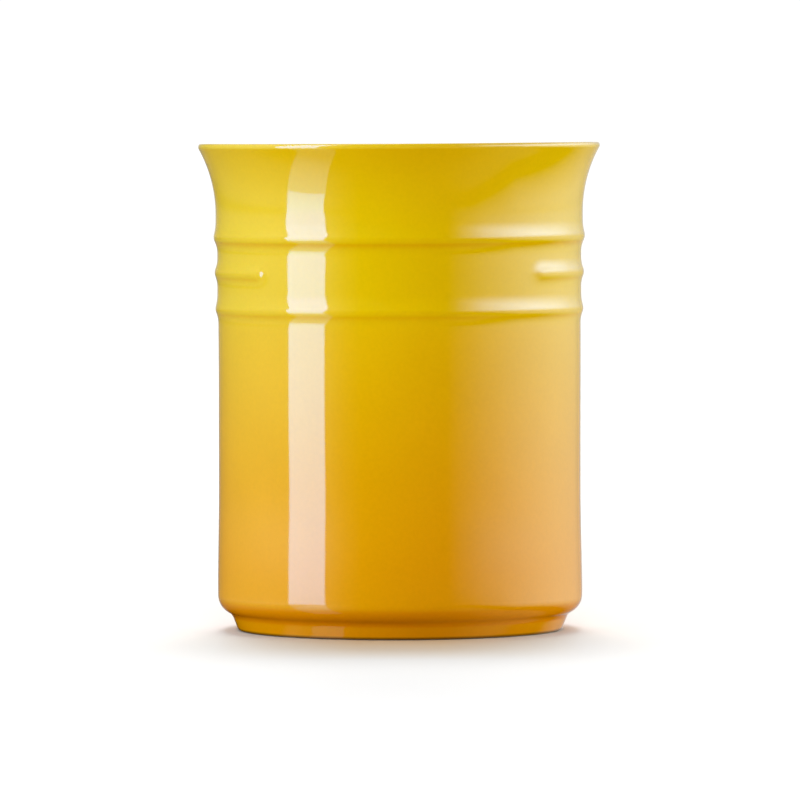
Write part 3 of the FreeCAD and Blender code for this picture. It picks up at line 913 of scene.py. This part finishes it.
def makeWorld():
    world = bpy.data.worlds.new("studio")
    scene.world = world
    world.use_nodes = True
    tree = world.node_tree
    tree.nodes.clear()
    output = addNode(tree, "ShaderNodeOutputWorld")
    ray = addNode(tree, "ShaderNodeLightPath")
    place = addNode(tree, "ShaderNodeTexCoord")
    axes = addNode(tree, "ShaderNodeSeparateXYZ")
    tree.links.new(place.outputs["Generated"], axes.inputs[0])
    right, back, up = axes.outputs
    azimuth = combine(tree, "ARCTAN2", right, combine(tree, "MULTIPLY", back, -1))
    elevation = combine(tree, "ARCSINE", up)

    # glow in the glaze
    (nearBack, farBack), (low, high), bright = surround["backdrop"]
    behind = spread(tree, back, nearBack, farBack, 0, bright)
    behind = combine(tree, "MULTIPLY", behind, spread(tree, up, low, high, 0, 1))
    glow = combine(tree, "ADD", sideGlow(tree, azimuth, elevation, right), behind)
    boxAround = glowRamp(tree, azimuth, surround["boxAround"], 180)
    boxUp = glowRamp(tree, elevation, surround["boxUp"], 90)
    boxGlow = combine(tree, "MULTIPLY", combine(tree, "MULTIPLY", boxAround, boxUp), surround["most"] ** 2)

    # soft light all round
    dim = towards(surround["dimmest"], 0)
    facing = combine(tree, "MULTIPLY", right, -dim.x)
    facing = combine(tree, "ADD", facing, combine(tree, "MULTIPLY", back, -dim.y))
    turned, strengths = surround["ambient"]
    soft = spread(tree, facing, *turned, *strengths)

    ambient, mirrored, box, seen = (addNode(tree, "ShaderNodeBackground") for part in range(4))
    for background in (ambient, mirrored, seen):
        background.inputs["Color"].default_value = (1, 1, 1, 1)
    box.inputs["Color"].default_value = (*surround["boxColour"], 1)
    seen.inputs["Strength"].default_value = surround["seen"]
    for background, strength in ((ambient, soft), (mirrored, glow), (box, boxGlow)):
        tree.links.new(strength, background.inputs["Strength"])
    both = addNode(tree, "ShaderNodeAddShader")
    tree.links.new(mirrored.outputs[0], both.inputs[0])
    tree.links.new(box.outputs[0], both.inputs[1])
    lighting = addNode(tree, "ShaderNodeMixShader")
    picture = addNode(tree, "ShaderNodeMixShader")
    tree.links.new(ray.outputs["Is Glossy Ray"], lighting.inputs[0])
    tree.links.new(ambient.outputs[0], lighting.inputs[1])
    tree.links.new(both.outputs[0], lighting.inputs[2])
    tree.links.new(ray.outputs["Is Camera Ray"], picture.inputs[0])
    tree.links.new(lighting.outputs[0], picture.inputs[1])
    tree.links.new(seen.outputs[0], picture.inputs[2])
    tree.links.new(picture.outputs[0], output.inputs["Surface"])


# soft suns: degrees right of the camera and above the floor, softness, colour, strength
white = (1.0, 1.0, 1.0)
potSuns = {
    "keySun": (-32, 25, 50, white, 1.52),
    "coolSun": (-70, 25, 50, (0.0, 1.0, 1.0), 0.94),
    "fillSun": (104, -8, 20, (0.68, 1.0, 1.0), 2.12),
    "leftRimSun": (-158, 10, 20, (1.0, 0.8, 0.8), 1.4),
    "rightRimSun": (158, 10, 20, (1.0, 0.3, 0.3), 0.6),
}
bounceSuns = {
    "bounceSun": (180, 45, 60, white, 2.3),
}
floorSuns = {
    "front": (0, 20, 30, white, 2.8),
    "back": (180, 20, 30, white, 3.0),
    "high": (180, 66, 30, white, 2.4),
    "right": (45, 27, 30, white, 1.0),
    "left": (-45, 27, 30, white, 0.85),
}


def lightGroup(name, *members):
    group = bpy.data.collections.new(name)
    for member in members:
        group.objects.link(member)
    return group


def addSuns(suns, group, blockers):
    # broad, even light on one group alone
    for name, (azimuth, elevation, softness, colour, strength) in suns.items():
        data = bpy.data.lights.new(name, "SUN")
        data.angle = math.radians(softness)
        data.color = colour
        data.energy = strength
        lamp = bpy.data.objects.new(name, data)
        scene.collection.objects.link(lamp)
        lamp.rotation_mode = "QUATERNION"
        lamp.rotation_quaternion = towards(azimuth, elevation).to_track_quat("Z", "Y")
        lamp.visible_glossy = False
        lamp.light_linking.receiver_collection = group
        lamp.light_linking.blocker_collection = blockers


shot = {
    "distance": 2.2,
    "height": 0.151,
    "aim": (0.0001, 0, 0.0707),   # the picture's centre
    "pixelsPerMetre": 3251,       # at the crock's axis
    "pictureWidth": 800,
    "sensor": 36,
    "roll": 0.15,                 # degrees
}


def makeCamera():
    data = bpy.data.cameras.new("camera")
    data.sensor_width = shot["sensor"]
    data.lens = shot["sensor"] * shot["pixelsPerMetre"] * shot["distance"] / shot["pictureWidth"]
    camera = bpy.data.objects.new("camera", data)
    scene.collection.objects.link(camera)
    camera.location = (0, -shot["distance"], shot["height"])
    look = Vector(shot["aim"]) - camera.location
    camera.rotation_mode = "QUATERNION"
    turned = Quaternion((0, 0, 1), -math.radians(shot["roll"]))
    camera.rotation_quaternion = look.to_track_quat("-Z", "Y") @ turned
    scene.camera = camera


floor = makeFloor()
floorBounce = makeFloorBounce()
makeShade()
makeWorld()
glowCard("leftStrip", leftStrip)
glowCard("leftStripLow", leftStripLow)
makeFlag()
litPieces = lightGroup("litPieces", stonewareBody, outerGlaze, innerGlaze, baseGlaze)
litFloor = lightGroup("litFloor", floor)
litBounce = lightGroup("litBounce", floorBounce)
addSuns(potSuns, litPieces, litPieces)
addSuns(bounceSuns, litBounce, litPieces)
addSuns(floorSuns, litFloor, litPieces)
makeCamera()
print("stage set")
